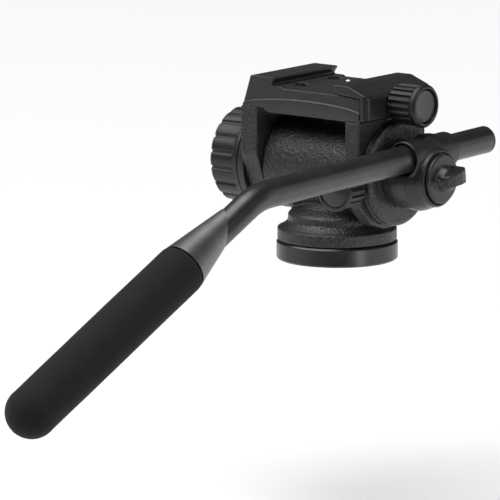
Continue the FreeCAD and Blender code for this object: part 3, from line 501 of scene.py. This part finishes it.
ck = lathe("clamp_knob_fluted", [tuple(p) for p in prof], (0, -2.0, CLAMP_Z), X1, Y1, 432, clamp_shape)
put(ck, "clamp", "knob_black", KNOB, "clamp_knob")
prof = dense([(49.6, 0.0), (49.6, 8.2), (54.4, 8.2), (54.9, 7.9), (55.1, 7.4), (54.9, 6.6), (54.75, 4.0), (54.7, 0.0)], 0.25, 0.15)
cc = lathe("clamp_knob_face", [tuple(p) for p in prof], (0, -2.0, CLAMP_Z), X1, Y1, 144)
put(cc, "clamp", "cap_black", CAP, "clamp_knob_cap")

# drag knob: broad lobes with shallow stepped valleys
prof = dense([(-43.4, 9.25), (-43.4, 24.3), (-43.9, 24.8), (-45.3, 24.8), (-46.0, 24.15), (-60.4, 23.9), (-61.9, 22.6), (-62.55, 20.8),
              (-62.55, 17.6), (-61.4, 17.0), (-61.0, 13.2), (-61.0, 9.25), (-43.4, 9.25)], 0.3, 0.4)


def drag_shape(t, r, ang):
    if r < 19.0:
        return np.full(len(ang), r)
    p = 2 * math.pi / 18
    a = (ang % p) - p / 2
    w = np.abs(a) / (p / 2)
    slot_ = 0.62 * 0.5 * (1 - np.tanh((w - 0.2) / 0.045))
    lobe = 0.55 * np.clip(1 - w, 0, 1) ** 2
    k = window(t, -66.0, -47.2, 0.3)
    return r - k * (slot_ + lobe)


dk = lathe("drag_knob_lobed", [tuple(p) for p in prof], (0, 0, AX), X1, Y1, 540, drag_shape)
put(dk, "drag", "knob_black", KNOB, "drag_knob")

# tilt lock knob, its axis towards the user
LO = (29.3, 0.0, 41.6)
NY = (0.0, -1.0, 0.0)
fl2 = flute(16, 9.6, 0.95, 5.4, 0.35)
prof = dense([(37.2, 2.65), (27.7, 2.65), (27.7, 8.2), (28.3, 9.3), (38.5, 9.3), (39.0, 9.0), (39.4, 9.0), (39.8, 9.8), (41.2, 9.95),
              (41.9, 9.1), (41.9, 8.35), (41.3, 8.1), (37.2, 8.1), (37.2, 2.65)], 0.22, 0.22)


def lock_shape(t, r, ang):
    k = window(t, 28.0, 38.4, 0.28) if r > 8.9 else 0.0
    return r - 0.95 * k * fl2(ang)


tl = lathe("tilt_lock_fluted", [tuple(p) for p in prof], LO, NY, X1, 384, lock_shape)
put(tl, "tilt_lock", "knob_black", KNOB, "tilt_lock_knob")
prof = dense([(37.4, 0.0), (37.4, 8.0), (41.0, 8.0), (41.35, 7.7), (41.7, 5.6), (42.1, 2.8), (42.35, 0.0)], 0.25, 0.12)
tcap = lathe("tilt_lock_face", [tuple(p) for p in prof], LO, NY, X1, 144)
put(tcap, "tilt_lock", "cap_black", CAP, "tilt_lock_cap")

# pan lock knob on the lens side
fl3 = flute(12, 4.6, 0.5, 8.0, 0.35)
prof = dense([(32.0, 2.0), (30.4, 2.0), (30.4, 4.0), (30.9, 4.55), (39.5, 4.55), (40.3, 3.8), (40.4, 2.6), (40.2, 0.0)], 0.2, 0.2)
prof = np.array([(32.0, 0.0)] + [tuple(p) for p in prof])
pk = lathe("pan_lock_fluted", [tuple(p) for p in prof], (0, 0, 12.7), Y1, X1, 240,
           lambda t, r, ang: r - (0.5 * window(t, 30.8, 39.2, 0.25) if r > 4.2 else 0.0) * fl3(ang))
put(pk, "pan_lock", "knob_black", KNOB, "pan_lock_knob")


# ------------------------------------------------------------------ bar bracket, one casting
def bracket(x, y, z):
    rho = np.hypot(y, z - AX)
    body = polygon(x, rho, [(44.5, -1.0), (44.5, 16.4), (44.7, 16.6), (52.9, 16.6), (53.1, 16.4), (53.15, 15.9), (53.6, 15.9), (53.65, 16.2), (53.9, 16.4),
                            (59.7, 14.2), (61.9, 13.9), (62.6, 13.5), (62.6, 12.95), (61.8, 12.8), (61.8, -1.0)])
    p = (x, y, z)
    sl = cyl_along(p, BAR_O, T_DIR, 8.85, -19.4 / math.cos(TILT), 15.6 / math.cos(TILT), 0.8)
    lip = cyl_along(p, BAR_O, T_DIR, 9.0, 13.9, 15.9, 0.6)
    sad = extrude(polygon(y, z, [(-11.5, 44.0), (-9.6, 57.0), (9.6, 57.0), (11.5, 44.0)]), x - 52.2, 7.4)
    d = np.minimum(body, smin(sl, smax(sad, rho - 16.3, 1.0), 2.0))
    d = smin(body, d, 1.2)
    hump = cyl_along(p, (52.0, 3.0, 0.0), (0.0, 0.0, 1.0), 4.8, 58.6, 65.7, 1.9)
    d = smin(d, hump, 3.6)
    d = smin(d, lip, 0.5)
    d = smax(d, -cyl_along(p, BAR_O, T_DIR, 8.0, 12.6, 20.0), 0.3)
    d = np.maximum(d, -cyl_along((x, y, z), (0, 0, AX), (1.0, 0.0, 0.0), 12.85, 61.8, 75.0))
    d = np.maximum(d, 44.5 - x)
    tube = cyl_along(p, BAR_O, T_DIR, 7.33, -30.0, 30.0)
    d = smax(d, -tube, 0.25)
    stud = cyl_along(p, (0, 0, AX), (1.0, 0.0, 0.0), 3.16, 30.0, 80.0)
    return np.maximum(d, -stud)


br = net("bracket_casting", bracket, (44.4, -16.4, 29.2), (62.8, 19.8, 66.4), 0.3)
put(br, "bracket", "satin_black", BRACKET, "bar_bracket")


# ------------------------------------------------------------------ wing screw
def wing_field(x, y, z):
    rho = np.hypot(y, z - AX)
    disc = polygon(x, rho, [(62.1, -1.0), (62.1, 12.1), (64.3, 12.1), (64.75, 11.8), (64.95, 11.2), (65.1, 7.0), (65.1, -1.0)]) - 0.05
    dome = polygon(x, rho, [(64.0, -1.0), (64.0, 6.6), (66.5, 6.1), (68.8, 5.4), (70.4, 3.9), (71.1, 2.0), (71.2, -1.0)]) - 0.1
    c, s = math.cos(math.radians(6.0)), math.sin(math.radians(6.0))
    yy = y * c + (z - AX) * s
    zz = -y * s + (z - AX) * c
    flat = polygon(x, yy, [(65.6, -5.4), (71.4, -5.4), (72.9, -1.0), (73.2, 4.4), (72.4, 8.0), (70.6, 9.6), (65.4, 9.6)])
    up_, low_ = zz - 2.3 - 0.16 * np.clip(yy + 4.0, 0.0, 14.0), -zz - 2.9
    blade = smax(flat, smax(up_, low_, 0.3), 0.35)
    rib = extrude(polygon(x, yy, [(64.3, -10.6), (66.0, -10.6), (67.2, -4.0), (67.2, -2.0), (64.3, -2.0)]), zz, 0.9) - 0.15
    d = smin(disc, dome, 0.8)
    d = smin(d, blade, 0.5)
    d = smin(d, rib, 0.5)
    stud = cyl_along((x, y, z), (0, 0, AX), (1.0, 0.0, 0.0), 2.93, 50.0, 66.0)
    return np.maximum(d, -stud)


wg = net("wing_handle", wing_field, (62.0, -13.0, 33.0), (73.9, 13.0, 59.0), 0.22)
put(wg, "wing", "cap_black", BRACKET, "wing_screw")


# ------------------------------------------------------------------ housing casting
def housing(x, y, z):
    r = np.hypot(x, y)
    flange = rounded(r, z, [(-1.0, 9.62), (29.5, 9.62), (29.5, 15.6), (27.6, 16.2), (-1.0, 16.2)], 0.75)
    neck = polygon(r, z, [(-1.0, 15.0), (28.0, 15.0), (27.6, 15.9), (26.6, 17.0), (25.2, 18.2), (24.4, 19.3), (24.2, 22.4), (23.2, 23.6), (19.0, 26.0),
                          (15.5, 30.0), (14.0, 33.0), (-1.0, 33.0)])
    flange = smin(flange, neck, 0.9)
    q = np.hypot(y, z - AX)
    barrel = cyl_along((x, y, z), (0, 0, AX), (1.0, 0.0, 0.0), 23.4, -28.7, 24.5, 0.8)
    d = smin(flange, barrel, 1.3)
    d = np.maximum(d, -cyl_along((x, y, z), (0, 0, AX), (1.0, 0.0, 0.0), 18.5, -40.0, 40.0))
    bores = polygon(r, z, BORES)
    d = np.maximum(d, -bores)
    lock = cyl_along((x, y, z), (0, 0, 12.7), (0.0, 1.0, 0.0), 1.95, 15.0, 40.0)
    return np.maximum(d, -lock)


BORES = [(-1.0, 8.0), (16.5, 8.0), (16.5, 14.6), (5.06, 14.6), (5.06, 18.4), (12.8, 18.4), (12.8, 31.0), (-1.0, 31.0)]
hs = net("housing_casting", housing, (-29.6, -29.6, 9.5), (29.6, 29.6, 69.5), 0.42)
put(hs, "housing", "cast_black", CAST, "pan_housing")


# ------------------------------------------------------------------ arms
def arm_field(x0, t, top, low, holes, r_edge=0.55, relief=False):
    outline = [(-27.0, top + 20.0)] + low + [(27.0, top + 20.0)]

    def f(x, y, z):
        d2 = np.maximum(rounded(y[0], z[0], outline, 8.0), z[0] - top)[None]
        d = extrude(d2 + r_edge, x - (x0 + t / 2), t / 2 - r_edge) - r_edge
        if relief:
            ring = np.maximum((26.85 + 0.963 * (x - 25.0) - np.hypot(y, z - AX)) * 0.72, z - 42.0)
            d = np.maximum(d, -ring)
        d = np.maximum(d, -cyl_along((x, y, z), (0, 0, AX), (1.0, 0.0, 0.0), 6.05, -60.0, 60.0))
        for o, a, r, a0, a1 in holes:
            d = np.maximum(d, -cyl_along((x, y, z), o, a, r, a0, a1))
        return d
    return f


Z1 = (0.0, 0.0, 1.0)
low_l = [(-27.0, 52.0), (-21.5, 38.5), (-17.0, 29.0), (-9.0, 23.5), (9.0, 23.5), (17.0, 29.0), (21.5, 38.5), (27.0, 52.0)]
la = net("left_arm_casting", arm_field(-39.4, 10.2, 75.5, low_l, [((-34.3, yy, 0.0), Z1, 1.9, 62.5, 90.0) for yy in (-16.0, 14.0)]),
         (-39.4, -27.0, 23.4), (-29.2, 27.0, 75.5), 0.4)
put(la, "bridge", "cast_black", CAST, "left_arm")
low_r = [(-27.0, 32.5), (-16.5, 22.2), (-6.5, 18.9), (6.5, 18.9), (16.5, 22.2), (27.0, 32.5)]
ra = net("right_arm_casting", arm_field(25.0, 8.6, 73.5, low_r, [((29.3, yy, 0.0), Z1, 1.9, 60.5, 90.0) for yy in (-16.0, 14.0)]
                                        + [((29.3, 0.0, 41.6), (0.0, -1.0, 0.0), 2.6, 6.7, 40.0)], relief=True),
         (25.0, -27.0, 18.8), (33.6, 27.0, 73.5), 0.4)
put(ra, "bridge", "cast_black", CAST, "right_arm")


# ------------------------------------------------------------------ platform: a smooth bed over a proud arched band
BED = [(-33.8, 91.0), (-19.6, 91.0), (-19.2, 90.3), (-21.0, 87.9), (-20.8, 86.9), (-15.2, 86.8), (-14.2, 86.0), (17.6, 86.0), (33.7, 85.0),
       (33.7, 73.5), (-23.0, 73.5), (-26.0, 75.5), (-38.7, 75.5), (-38.2, 77.0)]


def platform_field(x, y, z):
    x2, z2 = x[:, 0, :], z[:, 0, :]
    p = rounded(x2, z2, BED, 0.28)
    arch = 81.4 - 0.0022 * (x2 - 1.0) ** 2 - 0.010 * np.clip(-30.0 - x2, 0.0, 9.0) ** 2 - 0.02 * np.clip(x2 - 27.0, 0.0, 9.0) ** 2
    up = (z2 - arch)[:, None, :]
    p = p[:, None, :]
    under = 0.020 * np.clip(-up - 1.2, 0.0, 9.0) ** 2
    front_low = -(y + 27.0) + under
    low = smax(smax(p, up * 0.97, 0.55), front_low, 0.7)
    front = smax(p, -(y + 26.35), 0.35)
    d = smin(low, front, 0.25)
    d = smax(d, y - 25.7, 0.5)
    P = (x, y, z)
    for yy in (-10.5, 16.5):
        d = smax(d, -cyl_along(P, (-13.6, yy, 0.0), Z1, 4.3, 82.7, 99.0), 0.25)
    d = smax(d, -cyl_along(P, (-3.0, 13.0, 0.0), Z1, 1.85, 79.0, 99.0), 0.2)
    X0 = (1.0, 0.0, 0.0)
    CG = CLAMP_Z - 0.6
    for o, r, a0 in (((0.0, -2.0, CLAMP_Z), 2.6, 4.7), ((0.0, -17.0, CG), 1.6, 19.7), ((0.0, 13.0, CG), 1.6, 19.7),
                     ((0.0, -10.2, CG), 2.4, 26.7), ((0.0, 6.2, CG), 2.4, 26.7)):
        d = np.maximum(d, -cyl_along(P, o, X0, r, a0, 50.0))
    for xx in (-34.3, 29.3):
        for yy in (-16.0, 14.0):
            d = np.maximum(d, -cyl_along(P, (xx, yy, 0.0), Z1, 1.9, 60.0, 81.0))
    return d


pf = net("platform_casting", platform_field, (-38.9, -27.0, 73.4), (33.8, 25.7, 91.0), 0.34)
put(pf, "bridge", "cast_black", CAST_FINE, "platform")

# ------------------------------------------------------------------ moving jaw
JAW = [(17.3, 90.3), (17.7, 91.0), (26.2, 91.0), (36.9, 86.9), (38.4, 85.4), (38.4, 74.9), (34.1, 74.9), (34.1, 85.45), (20.6, 86.5), (19.1, 87.6)]


def jaw_field(x, y, z):
    p = rounded(x[:, 0, :], z[:, 0, :], JAW, 0.22)[:, None, :]
    d = smax(p, np.abs(y + 0.65) - 26.35, 0.5)
    for sgn in (-1.0, 1.0):
        d = smax(d, ((x - 38.4) + (sgn * (y + 0.65) - 26.35) + 1.9) * 0.7071, 0.3)
    P = (x, y, z)
    X0 = (1.0, 0.0, 0.0)
    d = np.maximum(d, -cyl_along(P, (0.0, -2.0, CLAMP_Z), X0, 2.75, 33.0, 50.0))
    for yy in (-17.0, 13.0):
        d = np.maximum(d, -cyl_along(P, (0.0, yy, CLAMP_Z - 0.6), X0, 1.5, 33.0, 37.0))
    return d


jw = net("moving_jaw_casting", jaw_field, (17.2, -27.0, 74.8), (38.5, 25.7, 91.0), 0.32)
put(jw, "jaw", "satin_black", SATIN, "moving_jaw")

# ------------------------------------------------------------------ round cover on the right arm
prof = dense([(33.6, 6.1), (33.6, 25.4), (33.9, 25.85), (35.0, 25.85), (35.3, 25.2), (36.1, 25.2), (36.4, 25.8), (38.2, 25.75), (39.1, 25.0), (39.5, 24.0),
              (39.6, 22.8), (39.6, 6.1), (33.6, 6.1)], 0.6, 0.25)
rd = lathe("right_disc_turned", [tuple(p) for p in prof], (0, 0, AX), X1, Y1, 240)
put(rd, "bridge", "cast_black", CAST, "right_disc")
# the two toothed rings close to a fine line at their rims
prof = dense([(39.6, 8.05), (39.6, 16.5), (42.0, 16.5), (42.0, 16.0), (41.9, 8.05), (39.6, 8.05)], 0.6, 0.12)
hr = lathe("hub_ring", [tuple(p) for p in prof], (0, 0, AX), X1, Y1, 180)
put(hr, "bridge", "satin_black", BRACKET, "hub_rosette")
prof = dense([(42.1, 8.05), (42.1, 16.5), (44.5, 16.5), (44.5, 8.05), (42.1, 8.05)], 0.6, 0.12)
b2 = lathe("bracket_ring", [tuple(p) for p in prof], (0, 0, AX), X1, Y1, 180)
put(b2, "bracket", "satin_black", BRACKET, "bracket_rosette")

# ------------------------------------------------------------------ floor, light and camera
AL, EL = math.radians(38.0), math.radians(10.3)
r_ = Vector((math.cos(AL), math.sin(AL), 0.0))
u_ = Vector((-math.sin(AL) * math.sin(EL), math.cos(AL) * math.sin(EL), math.cos(EL)))
b_ = Vector((math.sin(AL) * math.cos(EL), -math.cos(AL) * math.cos(EL), math.sin(EL)))
DIST = 3.0
SCALE = 2030.0                       # pixels per metre at the base, for a 500 px frame
XC, YC = 87.3 / SCALE, 72.6 / SCALE
cam = bpy.data.cameras.new("camera")
cam.sensor_width = 36.0
cam.lens = SCALE * DIST * 36.0 / 500.0
cam.clip_start, cam.clip_end = 0.05, 60.0
co = bpy.data.objects.new("camera", cam)
bpy.context.scene.collection.objects.link(co)
pos = Vector((0, 0, 0.040)) - r_ * XC - u_ * YC + b_ * DIST
from mathutils import Matrix
rot = Matrix((r_, u_, b_)).transposed()
co.matrix_world = Matrix.Translation(pos) @ rot.to_4x4()
bpy.context.scene.camera = co

FLOOR = -0.12
me = bpy.data.meshes.new("floor")
fwd = Vector((-math.sin(AL), math.cos(AL), 0.0))
cs = [r_ * 5.0 * a + fwd * b for a, b in ((-1, -0.40), (1, -0.40), (1, 11.0), (-1, 11.0))]
me.from_pydata([(c.x, c.y, FLOOR) for c in cs], [], [(0, 1, 2, 3)])
floor = bpy.data.objects.new("floor", me)
bpy.context.scene.collection.objects.link(floor)
fm, nt, fb, tc = new_mat("studio_floor")
nz = noise(nt, tc.outputs["Object"], 0.8, 2.0)
nt.links.new(mix_col(nt, nz, (0.86, 0.86, 0.86), (0.90, 0.90, 0.90)), fb.inputs["Base Color"])
fb.inputs["Roughness"].default_value = 0.9
fb.inputs["Specular IOR Level"].default_value = 0.1
me.materials.append(fm)

world = bpy.data.worlds.new("studio")
bpy.context.scene.world = world
world.use_nodes = True
world.node_tree.nodes["Background"].inputs["Color"].default_value = (0.93, 0.94, 0.95, 1)
world.node_tree.nodes["Background"].inputs["Strength"].default_value = 0.06


def area(name, at, aim, w, h, power):
    li = bpy.data.lights.new(name, "AREA")
    li.shape = "RECTANGLE"
    li.size, li.size_y, li.energy = w, h, power
    ob = bpy.data.objects.new(name, li)
    bpy.context.scene.collection.objects.link(ob)
    ob.location = at
    ob.rotation_mode = "QUATERNION"
    ob.rotation_quaternion = (Vector(aim) - Vector(at)).to_track_quat("-Z", "Y")
    return ob


mid = Vector((0.0, -0.08, 0.04))
area("soft_top", mid + Vector((0.1, -0.1, 1.5)), mid, 1.2, 1.2, 3)
area("soft_left", mid + Vector((-0.61, -0.60, 0.60)) * 1.7, mid, 0.8, 0.6, 2.2)
area("soft_right", mid + Vector((0.97, -0.10, 0.10)) * 1.5, mid, 0.35, 0.9, 6)
area("soft_back", mid + Vector((0.616, 0.788, 0.0)) * 1.6 + Vector((0, 0, 0.25)), mid, 0.7, 0.9, 1.5)
sun = bpy.data.lights.new("even", "SUN")
sun.energy, sun.angle = 3.4, math.radians(70)
so = bpy.data.objects.new("even", sun)
bpy.context.scene.collection.objects.link(so)
so.rotation_euler = (math.radians(18), math.radians(-14), 0)

vs = bpy.context.scene.view_settings
vs.view_transform = "Standard"
vs.look = "None"

bpy.context.view_layer.update()
